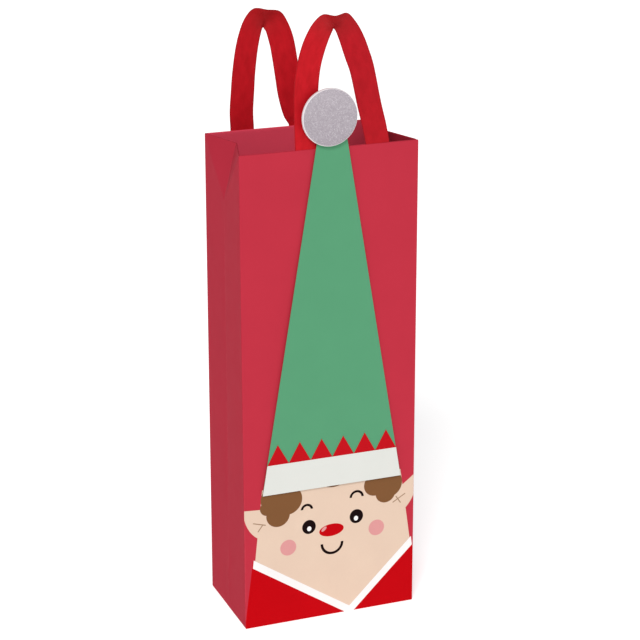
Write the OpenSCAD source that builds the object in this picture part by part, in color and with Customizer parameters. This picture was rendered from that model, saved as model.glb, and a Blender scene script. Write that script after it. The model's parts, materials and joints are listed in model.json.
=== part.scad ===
// Bottle gift bag of laminated paper with two ribbon handles and a raised card hat on its front.
// Origin at the centre of the base's underside. X across the front, -Y out of the front, Z up.

/* [Bag] */
// Width across the front
bag_w = 135; // [120:1:160]
// Depth at the base
bag_d = 78; // [76:1:100]
// Height from the base to the rim
bag_h = 360; // [340:1:400]
// Thickness of the laminated paper
paper_t = 0.4; // [0.3:0.1:0.5]
// How far the middle of each side is folded in at the rim
tuck_in = 11; // [4:1:16]
// How far that fold runs down the side
tuck_h = 40; // [30:1:60]
// Depth of the paper turned in at the rim
hem_h = 40; // [38:1:60]
// Thickness of the card strip inside the hem
rim_card_t = 0.6; // [0.4:0.1:1]
// Height of the card strip inside the hem
rim_card_h = 36; // [30:1:37]

/* [Base] */
// Thickness of the loose base card
base_card_t = 1; // [0.6:0.1:2]
// Gap between the base card and the bag's walls
base_card_gap = 2.4; // [2.2:0.1:4]
// Length of the front and back bottom flaps
long_flap = 51; // [45:1:60]
// Length of the two side bottom flaps
side_flap = 44; // [30:1:50]
// Width of the glued side seam
seam_w = 15; // [10:1:20]

/* [Handles] */
// Width of the ribbon
ribbon_w = 18; // [14:1:20]
// Thickness of the ribbon in the hem
ribbon_t = 0.4; // [0.3:0.1:0.5]
// Length of ribbon glued inside the hem
ribbon_tail = 26; // [18:1:30]
// Height of the ribbons, as a share of the usual one
ribbon_rise = 1; // [0.9:0.01:1.15]

/* [Hat] */
// Height of the hat's lower edge above the base
hat_foot = 105.5; // [90:1:110]
// Width of the hat at its lower edge
hat_w = 109; // [100:1:112]
// Width of the hat at the rim
hat_rim_w = 24.5; // [20:0.5:30]
// Thickness of the hat's card
card_t = 0.6; // [0.4:0.1:1]
// Thickness of the foam pads
pad_t = 1; // [0.8:0.1:1.2]
// Height of the hat's band
band_h = 23; // [15:1:28]
// Height of the zigzag's teeth
tooth_h = 15.3; // [8:0.1:20]
// Width of each tooth
tooth_w = 17; // [16:0.5:17.5]
// Thickness of the band and of the zigzag
trim_t = 0.25; // [0.2:0.05:0.4]
// Diameter of the bobble on the hat's tip
bobble_d = 41; // [40:1:48]
// Thickness of the bobble
bobble_t = 3; // [2:0.5:4]

/* [Hidden] */

hair = 0.01;                                       // gap that keeps two glued sheets apart
lean_y = bag_d / 2 - sqrt(pow(bag_d / 2, 2) - pow(tuck_in, 2));
lean = atan(lean_y / bag_h);                       // the front and back lean in towards the rim
crease_z = bag_h - tuck_h;                         // where the side folds start
ribbon_in = paper_t;                               // ribbon ends lie against the panel
card_in = ribbon_in + ribbon_t;
hem_in = card_in + rim_card_t;
hem_half = bag_w / 2 - 1.6;
hem_z = bag_h - hem_h;
slot_gap = 0.5;                                    // room round a ribbon in its slot
side_z = 2 * paper_t;                              // the side flaps lie on the other two
card_z = 3 * paper_t;
handle_t = 0.6;                                    // thickness of the loops
handle_gap = 1;                                    // where a loop starts above the rim
handle_y = ribbon_in + ribbon_t / 2;
hat_x = 1;                                         // the hat stands a little to the right
hat_tip = bag_h + 28;
hat_slope = (hat_w - hat_rim_w) / 2 / (bag_h - hat_foot);
teeth = 6;
bobble_x = -1.9;                                      // and the bobble a little to the left
bobble_z = bag_h + 22.5;
bobble_edge = 1;                                   // radius of the bobble's rounded edge

// Foot of each ribbon leg across the bag
front_feet = [-17, 36];
back_feet = [-39, 6];

// Both edges of each ribbon above the rim, from its left foot to its right one: outer edge across
// and up, inner edge across and up, how far the outer edge leans to the outside of the bag and the
// inner one to its inside, and how far the middle lies inside the slit.
front_loop = [
    [-26, 1, -8, 1, 0, 0], [-26.5, 16, -8.5, 14, 0, 0], [-26.6, 36, -8.6, 34, 0, 0.5],
    [-25.6, 50, -7.7, 47, 0.3, 1], [-23.5, 62, -6, 57, 0.4, 1.5], [-20.3, 72, -3.6, 65.5, 0.5, 2],
    [-16.2, 81, -1, 71.7, 1, 2.5], [-11.4, 88.5, 1.8, 77, 2, 2.8], [-5.6, 93.5, 4.6, 80.6, 3.8, 3],
    [2.5, 92.4, 6.2, 81.4, 6.6, 3], [11.5, 93.6, 7.2, 80.4, 5.4, 3], [17.6, 88, 9, 75.4, 4.5, 2.8],
    [23, 79.6, 11, 69, 3.2, 2.5], [28.8, 68, 13, 60, 1.2, 2], [33.6, 54, 15.8, 50.6, 0.4, 1.5],
    [38.6, 30, 20.8, 27.4, 0, 0.8], [42.4, 14, 24.6, 12, 0, 0.2], [45, 1, 27, 1, 0, 0]
];
back_loop = [
    [-47.4, 1, -30.6, 1, 0, 0], [-48, 14, -30.8, 13, 0, 0], [-47.4, 28.5, -29.4, 27, -0.2, 0],
    [-46, 43, -28.4, 39.5, -0.5, -0.3], [-43.4, 59.5, -26.6, 53.7, -0.8, -0.6],
    [-40, 72.2, -24.8, 63, -1, -0.8], [-35.6, 81.6, -23.2, 68.8, -1.2, -1],
    [-29.6, 87.8, -21.6, 71.9, -2.4, -1], [-20.4, 86.6, -19.8, 72.2, -5.3, -1],
    [-9.4, 84.8, -19.6, 70, -3.6, -1], [-3.9, 77.4, -18.4, 66, -3, -0.9],
    [1, 65.4, -17, 59.6, -3.2, -0.7], [3.4, 53, -15.2, 49.2, -3, -0.5],
    [5, 40.4, -13.2, 37, -2, -0.3], [7, 26, -11.2, 22.4, -0.8, -0.1], [10, 12, -7, 8.6, 0, 0],
    [15, 1, -3, 1, 0, 0]
];

function front_y(z) = -bag_d / 2 + lean_y * z / bag_h;
function hat_half(z) = hat_w / 2 - hat_slope * (z - hat_foot);
function unit(v) = v / norm(v);

// A sheet that lies parallel to the front panel, a given depth behind its outer face
module leaning_sheet(x_from, x_to, depth, thick, z_from, z_to) {
    outline = [[0, z_from], [thick, z_from], [thick, z_to], [0, z_to]];
    translate([x_from, 0, 0]) rotate([90, 0, 90]) linear_extrude(x_to - x_from)
        polygon([for (p = outline) [front_y(p[1]) + depth + p[0], p[1]]]);
}

// Puts a shape drawn in the X-Z plane on the front, a given distance out from its face
module on_front(out, thick) {
    translate([0, -bag_d / 2, 0]) rotate([-lean, 0, 0]) translate([0, -out, 0])
        rotate([90, 0, 0]) linear_extrude(thick) children();
}

module at_back() {
    mirror([0, 1, 0]) children();
}

module panel() {
    leaning_sheet(-bag_w / 2, bag_w / 2, 0, paper_t, 0, bag_h);
}

// The flat front half of the left side
module gusset_half() {
    inner = [for (z = [side_z, bag_h]) front_y(z) + paper_t];
    translate([-bag_w / 2, 0, 0]) rotate([90, 0, 90]) linear_extrude(paper_t)
        polygon([[inner[0], side_z], [0, side_z], [0, crease_z], [inner[1], bag_h]]);
}

// A triangle of the side's inward fold, a given distance inside its outer face
module tuck_half(inset) {
    corners = [
        [-bag_w / 2 + inset, front_y(bag_h) + paper_t, bag_h],
        [-bag_w / 2 + tuck_in + inset, 0, bag_h],
        [-bag_w / 2 + inset, 0, crease_z]
    ];
    polyhedron(
        concat(corners, [for (c = corners) c + [paper_t, 0, 0]]),
        [[0, 2, 1], [3, 4, 5], [0, 1, 4, 3], [1, 2, 5, 4], [2, 0, 3, 5]]
    );
}

// The turned-in paper behind one side: two folded triangles and two flat ones
module side_hem_half() {
    edge = paper_t + hem_in + paper_t + hair;
    tip_y = front_y(bag_h) + edge;
    tip_z = crease_z + tuck_h * tip_y / (front_y(bag_h) + paper_t) - 2 * hair; // on the side's fold
    tuck_half(paper_t + hair);
    translate([-bag_w / 2 + paper_t + hair, 0, 0]) rotate([90, 0, 90]) linear_extrude(paper_t)
        polygon([
            [front_y(crease_z) + edge, crease_z], [-2 * hair, crease_z], [tip_y, tip_z]
        ]);
}

module hem(feet) {
    leaning_sheet(-hem_half, hem_half, hem_in, paper_t, hem_z, bag_h);
    difference() {
        leaning_sheet(-hem_half, hem_half, paper_t, hem_in - paper_t, bag_h - paper_t, bag_h);
        for (x = feet)
            leaning_sheet(
                x - ribbon_w / 2 - slot_gap, x + ribbon_w / 2 + slot_gap,
                paper_t, ribbon_t + 0.1, bag_h - 1, bag_h + 1
            );
    }
}

module rim_card() {
    top = bag_h - paper_t - 0.1;
    leaning_sheet(-hem_half + 2, hem_half - 2, card_in, rim_card_t, top - rim_card_h, top);
}

module ribbon_ends(feet) {
    for (x = feet)
        leaning_sheet(
            x - ribbon_w / 2, x + ribbon_w / 2, ribbon_in, ribbon_t,
            bag_h - ribbon_tail, bag_h + 0.3
        );
}

// The ribbon above the rim, drawn between its two edges
module ribbon_loop(line) {
    last = len(line) - 1;
    function up(z) = handle_gap + (z - handle_gap) * ribbon_rise;
    outer = [for (p = line) [p[0], p[5] - p[4], up(p[1])]];
    inner = [for (p = line) [p[2], p[5] + p[4], up(p[3])]];
    middle = [for (i = [0:last]) (outer[i] + inner[i]) / 2];
    along = [for (i = [0:last]) i == 0 || i == last ? (i == 0 ? [0, 0, 1] : [0, 0, -1])
        : unit(middle[i + 1] - middle[i - 1])];
    across = [for (i = [0:last]) unit(outer[i] - inner[i])];
    face = [for (i = [0:last]) unit(cross(along[i], across[i]))];
    rings = [for (i = [0:last], s = [[-1, -1], [1, -1], [1, 1], [-1, 1]])
        middle[i] + across[i] * s[0] * ribbon_w / 2 + face[i] * s[1] * handle_t / 2];
    sides = [for (i = [0:last - 1], k = [0:3])
        let (a = 4 * i + k, b = 4 * i + (k + 1) % 4)
        [a, b, b + 4, a + 4]];
    split = [for (q = sides) each [[q[0], q[2], q[1]], [q[0], q[3], q[2]]]];
    ends = [[0, 1, 2, 3], [for (k = [3:-1:0]) 4 * last + k]];
    translate([0, front_y(bag_h) + handle_y, bag_h]) polyhedron(rings, concat(split, ends));
}

module bottom_flap(z) {
    translate([-bag_w / 2, -bag_d / 2 + paper_t + hair, z])
        cube([bag_w, long_flap, paper_t]);
}

module side_bottom_flap() {
    root = bag_d / 2 - paper_t - 0.2;
    taper = 6;
    translate([-bag_w / 2 + paper_t, 0, side_z]) linear_extrude(paper_t)
        polygon([[0, -root], [side_flap, taper - root], [side_flap, root - taper], [0, root]]);
}

module hat_shape(z_from, z_to) {
    polygon([
        [hat_x - hat_half(z_from), z_from], [hat_x + hat_half(z_from), z_from],
        [hat_x + hat_half(z_to), z_to], [hat_x - hat_half(z_to), z_to]
    ]);
}

module front_panel() { color("crimson") panel(); }
module back_panel() { color("crimson") at_back() panel(); }

module left_gusset_front() { color([0.67, 0.21, 0.27]) gusset_half(); }
module left_gusset_back() { color([0.7, 0.21, 0.27]) at_back() gusset_half(); }
module right_gusset_front() { color([0.67, 0.21, 0.27]) mirror([1, 0, 0]) gusset_half(); }
module right_gusset_back() { color([0.7, 0.21, 0.27]) mirror([1, 0, 0]) at_back() gusset_half(); }

module left_tuck_front() { color([0.6, 0.2, 0.27]) tuck_half(0); }
module left_tuck_back() { color([0.6, 0.2, 0.27]) at_back() tuck_half(0); }
module right_tuck_front() { color([0.6, 0.2, 0.27]) mirror([1, 0, 0]) tuck_half(0); }
module right_tuck_back() { color([0.6, 0.2, 0.27]) mirror([1, 0, 0]) at_back() tuck_half(0); }

module side_seam() {
    edge = bag_w / 2 - paper_t - hair;
    color([0.6, 0.2, 0.27]) at_back()
        leaning_sheet(edge - seam_w, edge, paper_t, paper_t, card_z + hair, hem_z - 1);
}

module bottom_flap_left() { color([0.6, 0.2, 0.27]) side_bottom_flap(); }
module bottom_flap_right() { color([0.6, 0.2, 0.27]) mirror([1, 0, 0]) side_bottom_flap(); }
module bottom_flap_back() { color([0.7, 0.2, 0.27]) at_back() bottom_flap(paper_t); }
module bottom_flap_front() { color("crimson") bottom_flap(0); }

module front_hem() { color("crimson") hem(front_feet); }
module back_hem() { color("crimson") at_back() hem(back_feet); }

module left_hem() {
    color([0.6, 0.2, 0.27]) { side_hem_half(); at_back() side_hem_half(); }
}

module right_hem() {
    color([0.6, 0.2, 0.27]) mirror([1, 0, 0]) { side_hem_half(); at_back() side_hem_half(); }
}

module front_rim_card() { color("silver") rim_card(); }
module back_rim_card() { color("silver") at_back() rim_card(); }

module base_card() {
    size = [bag_w - 2 * base_card_gap, bag_d - 2 * base_card_gap, base_card_t];
    color("lightgrey") translate([-size[0] / 2, -size[1] / 2, card_z + hair]) cube(size);
}

module front_handle() { color("firebrick") ribbon_loop(front_loop); }
module back_handle() { color("firebrick") at_back() ribbon_loop(back_loop); }
module front_handle_ends() { color("firebrick") ribbon_ends(front_feet); }
module back_handle_ends() { color("firebrick") at_back() ribbon_ends(back_feet); }

module hat_card() {
    color("mediumseagreen") on_front(pad_t, card_t) hat_shape(hat_foot, hat_tip);
}

module hat_zigzag() {
    band_top = hat_foot + band_h;
    under = 12;
    color("red") on_front(pad_t + card_t, trim_t) {
        hat_shape(band_top - under, band_top);
        for (i = [0:teeth - 1])
            translate([hat_x + tooth_w * (i - (teeth - 1) / 2), band_top])
                polygon([[-tooth_w / 2, -hair], [tooth_w / 2, -hair], [0, tooth_h]]);
    }
}

module hat_band() {
    color("whitesmoke") on_front(pad_t + card_t + trim_t, trim_t)
        hat_shape(hat_foot, hat_foot + band_h);
}

module hat_pads() {
    pad = 9;
    low = hat_foot + 12;
    places = concat(
        [for (x = [-40:20:40]) [x, low]],
        [for (x = [-30:20:30]) [x, low + 42]],
        [for (x = [-20:20:20]) [x, low + 92]],
        [for (x = [-11, 11]) [x, low + 144]],
        [for (z = [190, 230]) [0, low + z]]
    );
    color("white") on_front(0, pad_t)
        for (p = places) translate([hat_x + p[0] - pad / 2, p[1] - pad / 2]) square(pad);
}

module bobble() {
    r = bobble_d / 2;
    back = pad_t + card_t + pad_t;
    color("thistle") translate([0, -bag_d / 2, 0]) rotate([-lean, 0, 0])
        translate([bobble_x, -back, bobble_z]) rotate([90, 0, 0]) rotate_extrude($fn = 96)
            union() {
                square([r - bobble_edge, bobble_t]);
                square([r, bobble_t - bobble_edge]);
                translate([r - bobble_edge, bobble_t - bobble_edge]) circle(bobble_edge, $fn = 32);
            }
}

module bobble_pad() {
    pad_r = 7;
    color("white") on_front(pad_t + card_t, pad_t)
        translate([bobble_x, bobble_z - 5]) circle(pad_r, $fn = 48);
}

front_panel();
back_panel();
left_gusset_front();
left_gusset_back();
right_gusset_front();
right_gusset_back();
left_tuck_front();
left_tuck_back();
right_tuck_front();
right_tuck_back();
side_seam();
bottom_flap_left();
bottom_flap_right();
bottom_flap_back();
bottom_flap_front();
front_hem();
back_hem();
left_hem();
right_hem();
front_rim_card();
back_rim_card();
base_card();
front_handle();
back_handle();
front_handle_ends();
back_handle_ends();
hat_card();
hat_zigzag();
hat_band();
hat_pads();
bobble();
bobble_pad();
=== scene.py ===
# %% [markdown]
# # A paper gift bag for one bottle
#
# The real bag is one sheet of laminated paper, printed, creased, glued to a tube, folded shut at
# the base and turned in at the rim. Two satin ribbons are caught inside the turned-in rim. A card
# hat stands a millimetre off the front on foam pads, with a glitter disc on its tip.
#
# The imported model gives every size. This lesson builds each part of the sheet as its own mesh,
# because the creases are the bag's hinges, and gives each one a finish made of shader nodes.

import json
import math

import bpy
import numpy as np
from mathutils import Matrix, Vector


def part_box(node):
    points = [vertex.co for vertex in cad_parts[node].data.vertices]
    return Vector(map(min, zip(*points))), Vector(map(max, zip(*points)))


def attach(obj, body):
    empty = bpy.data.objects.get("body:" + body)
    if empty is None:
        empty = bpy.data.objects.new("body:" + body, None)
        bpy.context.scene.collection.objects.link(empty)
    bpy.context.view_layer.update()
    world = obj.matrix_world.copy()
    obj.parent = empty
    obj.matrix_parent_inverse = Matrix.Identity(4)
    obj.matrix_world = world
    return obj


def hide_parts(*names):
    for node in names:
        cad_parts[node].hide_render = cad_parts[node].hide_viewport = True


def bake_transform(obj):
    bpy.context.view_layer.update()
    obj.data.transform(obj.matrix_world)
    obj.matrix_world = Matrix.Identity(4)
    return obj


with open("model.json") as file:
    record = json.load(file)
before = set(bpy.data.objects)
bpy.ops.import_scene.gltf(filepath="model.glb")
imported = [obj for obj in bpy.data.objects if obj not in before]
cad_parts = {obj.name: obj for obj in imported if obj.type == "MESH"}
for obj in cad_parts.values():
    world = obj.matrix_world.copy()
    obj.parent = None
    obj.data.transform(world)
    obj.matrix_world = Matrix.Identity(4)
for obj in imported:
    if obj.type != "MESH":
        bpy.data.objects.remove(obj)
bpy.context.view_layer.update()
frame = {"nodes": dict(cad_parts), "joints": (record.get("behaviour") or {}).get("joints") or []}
MM = 0.001

# %% [markdown]
# ## Sizes
#
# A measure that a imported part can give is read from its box, so that the looks follow the model
# if it changes. Everything below is worked out in millimetres and turned to metres at the end.


# %% Measures of the bag
def low(node):
    return np.array(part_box(node)[0]) / MM


def high(node):
    return np.array(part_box(node)[1]) / MM


HALF_WIDTH = high("front_panel")[0]
HEIGHT = high("front_panel")[2]
HALF_DEPTH = -low("front_panel")[1]
PAPER = low("bottom_flap_back")[2]
TUCK_IN = high("left_tuck_front")[0] + HALF_WIDTH - PAPER
CREASE_Z = low("left_tuck_front")[2]
HEM_Z = low("front_hem")[2]
HEM_HALF = high("front_hem")[0]
STACK = 1.8
LEAN = HALF_DEPTH - math.sqrt(HALF_DEPTH**2 - TUCK_IN**2)
LEAN_ANGLE = math.atan(LEAN / HEIGHT)
print(f"bag {2 * HALF_WIDTH:.0f} x {2 * HALF_DEPTH:.0f} x {HEIGHT:.0f} mm, rim leans in {LEAN:.2f} mm")


def front_y(z):
    """Where the front's outer face is, at height z."""
    return -HALF_DEPTH + LEAN * np.asarray(z, float) / HEIGHT


# %% [markdown]
# ## From points to a mesh
#
# Almost everything here is a thin sheet, so one helper makes a sheet from a grid of points: it
# finds the direction that each point faces, copies the grid one paper thickness inwards, and
# closes the cut edges. The faces remember whether they are outside, inside or cut edge, because
# the real paper is printed outside, bare inside and pale where it is cut.


# %% Meshes from grids
def grid(rows, columns):
    """Faces of a grid of points that is stored row after row."""
    return [
        (r * columns + c, r * columns + c + 1, (r + 1) * columns + c + 1, (r + 1) * columns + c)
        for r in range(rows - 1)
        for c in range(columns - 1)
    ]


def facing(points, faces):
    """The unit direction that each point of a surface faces."""
    total = np.zeros_like(points)
    for face in faces:
        corners = points[list(face)]
        across = np.cross(corners[2] - corners[0], corners[-1] - corners[1])
        for index in face:
            total[index] += across
    size = np.linalg.norm(total, axis=1, keepdims=True)
    return total / np.where(size < 1e-12, 1, size)


def thicken(points, faces, thickness):
    """A closed sheet under a surface. Returns points, faces, and each face's side: 0, 1 or 2."""
    count = len(points)
    under = points - facing(points, faces) * thickness
    edges = {}
    for face in faces:
        for a, b in zip(face, face[1:] + face[:1]):
            edges[(a, b)] = True
    rim = [(a, b) for a, b in edges if (b, a) not in edges]
    closed = list(faces)
    closed += [tuple(count + i for i in reversed(face)) for face in faces]
    closed += [(b, a, a + count, b + count) for a, b in rim]
    sides = [0] * len(faces) + [1] * len(faces) + [2] * len(rim)
    return np.vstack([points, under]), closed, sides


def make(name, points, faces, finishes, sides=None, smooth=True, crisp=35):
    """A mesh object from points in millimetres. Edges sharper than `crisp` degrees stay sharp."""
    mesh = bpy.data.meshes.new(name)
    mesh.from_pydata([Vector(p) * MM for p in points], [], [tuple(int(i) for i in f) for f in faces])
    mesh.validate()
    for finish in finishes:
        mesh.materials.append(finish)
    if sides is not None and len(finishes) > 1:
        mesh.polygons.foreach_set("material_index", [min(s, len(finishes) - 1) for s in sides])
    piece = bpy.data.objects.new(name, mesh)
    bpy.context.scene.collection.objects.link(piece)
    if smooth:
        mesh.polygons.foreach_set("use_smooth", [True] * len(mesh.polygons))
        mesh.set_sharp_from_angle(angle=math.radians(crisp))
    mesh.update()
    return piece


def place_piece(piece, nodes, body="bag"):
    """Joins a finished piece to the frame."""
    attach(piece, body)
    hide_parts(*nodes)
    print(f"{piece.name}: {len(piece.data.polygons)} faces for {', '.join(nodes)}")
    return piece


# %% [markdown]
# ## Shader maths as expressions
#
# A `Wire` holds one output of a shader node. Adding, multiplying or comparing wires adds the Math
# nodes that do it, so that a pattern reads like a formula. Any other node comes from `node`.


# %% The Wire class
class Wire:
    """One output socket of a shader node, which works in expressions like a number."""

    def __init__(self, socket):
        self.socket = socket

    def node(self, kind, settings=None, sockets=None, output=0):
        """Adds a node of that kind. Settings come first, then the values or wires of its sockets."""
        tree = self.socket.id_data
        made = tree.nodes.new(kind)
        for name, value in (settings or {}).items():
            setattr(made, name, value)
        for name, value in (sockets or {}).items():
            if isinstance(value, Wire):
                tree.links.new(value.socket, made.inputs[name])
            else:
                made.inputs[name].default_value = value
        return Wire(made.outputs[output])

    def math(self, operation, *others, clamp=False):
        values = dict(enumerate((self, *others)))
        return self.node("ShaderNodeMath", {"operation": operation, "use_clamp": clamp}, values)

    def __add__(self, other):
        return self.math("ADD", other)

    __radd__ = __add__

    def __mul__(self, other):
        return self.math("MULTIPLY", other)

    __rmul__ = __mul__

    def __sub__(self, other):
        return self.math("SUBTRACT", other)

    def __rsub__(self, other):
        return (self * -1).math("ADD", other)

    def __truediv__(self, other):
        return self.math("DIVIDE", other)

    def __abs__(self):
        return self.math("ABSOLUTE")

    def clip(self):
        """Keeps a value between 0 and 1."""
        return self.math("ADD", 0, clamp=True)

    def least(self, other):
        return self.math("MINIMUM", other)

    def most(self, other):
        return self.math("MAXIMUM", other)

    def tint(self, under, over, mode="MIX"):
        """Colour `over` on colour `under`, where this wire is 1."""
        settings = {"data_type": "RGBA", "blend_type": mode}
        return self.node("ShaderNodeMix", settings, {0: self, 6: under, 7: over}, output=2)

    def noise(self, size, detail=2.0, rough=0.5):
        """Cloudy noise from 0 to 1 around this place. Size is in millimetres."""
        sockets = {"Vector": self, "Scale": 1 / size, "Detail": detail, "Roughness": rough}
        return self.node("ShaderNodeTexNoise", {}, sockets)

    def stretch(self, x, y, z):
        """This place with its axes scaled, to draw noise out into threads."""
        return self.node("ShaderNodeVectorMath", {"operation": "MULTIPLY"}, {0: self, 1: (x, y, z)})

    def parts(self):
        """The three numbers of a place."""
        split = self.node("ShaderNodeSeparateXYZ", {}, {0: self})
        return [Wire(split.socket.node.outputs[i]) for i in range(3)]


def ink(red, green, blue):
    """A printer's colour from 0 to 255, as the shader's linear colour."""
    linear = []
    for value in (red, green, blue):
        share = value / 255
        linear.append(share / 12.92 if share <= 0.04045 else ((share + 0.055) / 1.055) ** 2.4)
    return (*linear, 1.0)


def start_finish(name):
    """A new material, and a wire that gives the place on the object in millimetres."""
    material = bpy.data.materials.new(name)
    material.use_nodes = True
    material.node_tree.nodes.clear()
    coordinates = Wire(material.node_tree.nodes.new("ShaderNodeTexCoord").outputs["Object"])
    scale = {"operation": "SCALE"}
    place = coordinates.node("ShaderNodeVectorMath", scale, {0: coordinates, "Scale": 1 / MM})
    return material, place


def close_finish(place, colour, roughness, height, relief, constants):
    """Puts colour, roughness and a height in millimetres into the surface shader."""
    bump = {"Height": height, "Strength": 1.0, "Distance": relief * MM}
    sockets = {"Base Color": colour, "Roughness": roughness}
    sockets["Normal"] = place.node("ShaderNodeBump", {}, bump)
    sockets.update(constants)
    surface = place.node("ShaderNodeBsdfPrincipled", {}, sockets)
    tree = place.socket.id_data
    out = tree.nodes.new("ShaderNodeOutputMaterial")
    tree.links.new(surface.socket, out.inputs["Surface"])


# %% [markdown]
# ## The laminated paper
#
# Gift bags are offset printed and covered with a satin film. The film is smooth, so its gloss is
# even, but the paper's fibres show through as a faint mottle and a slight unevenness, and the
# film turns pale where it is creased. The distance to the nearest fold is worked out from the
# place on the bag, and noise breaks the worn line up.


# %% Laminated paper
CRIMSON = ink(185, 49, 65)
# The sides are the same sheet as the front; their crimson is a darker copy of it: painted shade.
SHADED_SIDE_CRIMSON = ink(176, 46, 62)
# A lighter copy of the crimson for the back hem inside the mouth, against the shade there: painted light.
LIT_HEM_CRIMSON = ink(226, 74, 96)
WORN_CRIMSON = ink(206, 84, 96)
MOTTLE = (0.66, 0.58, 0.62, 1.0)
FILM_GLOSS = ink(255, 128, 140)
SIDE_GLOSS = 0.01


def fold_wear(place):
    """1 along the bag's upright folds and the middle crease of its sides, broken up by noise."""
    x, y, _ = place.parts()
    to_fold = (HALF_WIDTH - abs(x)).most(HALF_DEPTH - abs(y))
    fold = (1 - to_fold / 0.8).clip()
    on_side = (abs(x) - (HALF_WIDTH - 14)).clip()
    crease = (1 - abs(y) / 0.5).clip() * on_side
    scuff = (place.noise(5, 4) * 3 - 1.05).clip()
    return fold.most(crease) * scuff


def paper_relief(place):
    """Fibre mottle from 0 to 1, fine grain over a slower wave."""
    return place.noise(0.35, 2) * 0.5 + place.noise(2.6, 3) * 0.5


def satin_paper(name, printed, gloss=0.08):
    """Laminated paper. `printed` is a colour, or a function that draws the print at a place."""
    material, place = start_finish(name)
    base = printed(place) if callable(printed) else printed
    mottle = (place.noise(24, 3) * 0.22 + place.noise(1.1, 2) * 0.1).clip()
    base = mottle.tint(base, MOTTLE, "MULTIPLY")
    base = (fold_wear(place) * 0.5).tint(base, WORN_CRIMSON)
    rough = place.noise(7, 3) * 0.12 + 0.46
    constants = {"Specular IOR Level": gloss, "Specular Tint": FILM_GLOSS}
    close_finish(place, base, rough, paper_relief(place), 0.012, constants)
    return material


def bare_paper(name, tone, red_at_rim=False):
    """Uncoated paper: dull and fibrous. The blank's printed end, folded in, is red at the rim."""
    material, place = start_finish(name)
    fibres = place.stretch(1, 1, 0.25).noise(0.5, 3)
    cloud = place.noise(9, 3)
    base = (cloud * 0.3 + fibres * 0.3).tint(tone, tuple(0.86 * c for c in tone[:3]) + (1,))
    if red_at_rim:
        up = place.parts()[2]
        base = ((up - HEM_Z - 1) * 4).clip().tint(base, CRIMSON)
    rough = fibres * 0.15 + 0.75
    constants = {"Specular IOR Level": 0.25}
    close_finish(place, base, rough, fibres, 0.02, constants)
    return material


side_finish = satin_paper("side_paper", SHADED_SIDE_CRIMSON, SIDE_GLOSS)
back_finish = satin_paper("back_paper", CRIMSON)
hem_finish = satin_paper("hem_paper", LIT_HEM_CRIMSON)
front_hem_finish = satin_paper("front_hem_paper", CRIMSON, SIDE_GLOSS)
inside_finish = bare_paper("inside_paper", ink(236, 232, 226), True)
cut_finish = bare_paper("cut_paper", ink(226, 196, 194), True)

# %% [markdown]
# ## The print on the front
#
# The face under the hat is flat print, so it is drawn in the shader and has no thickness. Each
# shape is a distance: negative inside the shape and positive outside it, in millimetres. The
# larger of two distances is where two shapes overlap, and the smaller is both together. A
# distance becomes an edge as sharp as offset print by spreading it over a tenth of a millimetre.


# %% Shapes of flat print
def edge_of(distance):
    """1 inside a shape and 0 outside it."""
    return (0.5 - distance / 0.16).clip()


def beside(x, z, start, end):
    """Distance to the right of a line that runs from start to end, negative to its left."""
    run = math.dist(start, end)
    along_x = (end[0] - start[0]) / run
    along_z = (end[1] - start[1]) / run
    return x * along_z - z * along_x + (start[1] * along_x - start[0] * along_z)


def spot(x, z, centre, radius):
    """Distance to a round spot."""
    off_x, off_z = x - centre[0], z - centre[1]
    return (off_x * off_x + off_z * off_z).math("SQRT") - radius


def oval(x, z, centre, radii, tilt=0.0):
    """Distance, nearly, to an oval whose long side is turned by tilt degrees."""
    turn = math.radians(tilt)
    off_x, off_z = x - centre[0], z - centre[1]
    along = (off_x * math.cos(turn) + off_z * math.sin(turn)) / radii[0]
    upright = (off_z * math.cos(turn) - off_x * math.sin(turn)) / radii[1]
    return ((along * along + upright * upright).math("SQRT") - 1) * min(radii)


def stroke(x, z, start, end, width):
    """Distance to a pen stroke with round ends."""
    run_x, run_z = end[0] - start[0], end[1] - start[1]
    share = ((x - start[0]) * run_x + (z - start[1]) * run_z) / (run_x**2 + run_z**2)
    share = share.clip()
    off_x = x - start[0] - share * run_x
    off_z = z - start[1] - share * run_z
    return (off_x * off_x + off_z * off_z).math("SQRT") - width / 2


def inside_all(distances):
    """Where all the shapes overlap."""
    joined = distances[0]
    for distance in distances[1:]:
        joined = joined.most(distance)
    return joined


def inside_any(distances):
    """All the shapes together."""
    joined = distances[0]
    for distance in distances[1:]:
        joined = joined.least(distance)
    return joined


# %% [markdown]
# ### The figure's own layout
#
# The points below are the maker's drawing, across and up the front in millimetres from the
# middle of its lower edge. The collar is two white bands that meet at the lower edge, a little
# right of the middle, with a red shirt below them.

# %% The printed figure
SKIN = ink(220, 196, 175)
BLUSH = ink(214, 150, 148)
HAIR = ink(122, 84, 52)
SHIRT = ink(186, 2, 12)
WHITE = ink(238, 238, 236)
BLACK = ink(14, 10, 10)
CREASE = ink(156, 128, 104)

COLLAR_LEFT = [(-59.3, 54.0), (13.4, 6.0)]
COLLAR_RIGHT = [(17.3, 6.6), (63.2, 51.2)]
COLLAR_WIDTH = 5.7
FACE_LEFT = [(-54.4, 100.0), (-59.3, 54.0)]
FACE_RIGHT = [(64.4, 53.0), (57.6, 101.0)]
SHIRT_LEFT = [(-61.7, 49.5), (-67.6, 4.0)]
HAT_FOOT = low("hat_band")[2]
HAIR_LEFT = [((-33.8, 98.6), 11.6), ((-41.2, 87.8), 9.2), ((-49.4, 94.6), 5.8), ((-43.4, 101), 11.2)]
HAIR_RIGHT = [((35.9, 100.0), 8.8), ((44.4, 92.4), 8.0), ((46.4, 99.4), 11.4)]
HAIR_MIDDLE = ((2.4, 106.8), (7.4, 3.4))
EAR_STROKES = [((-60.4, 84.2), (-51.2, 81.6)), ((-56.8, 77.2), (-53.2, 82.0))]
EAR_STROKES += [((50.6, 83.6), (60.2, 89.2)), ((53.0, 88.0), (56.6, 82.6))]


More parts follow.
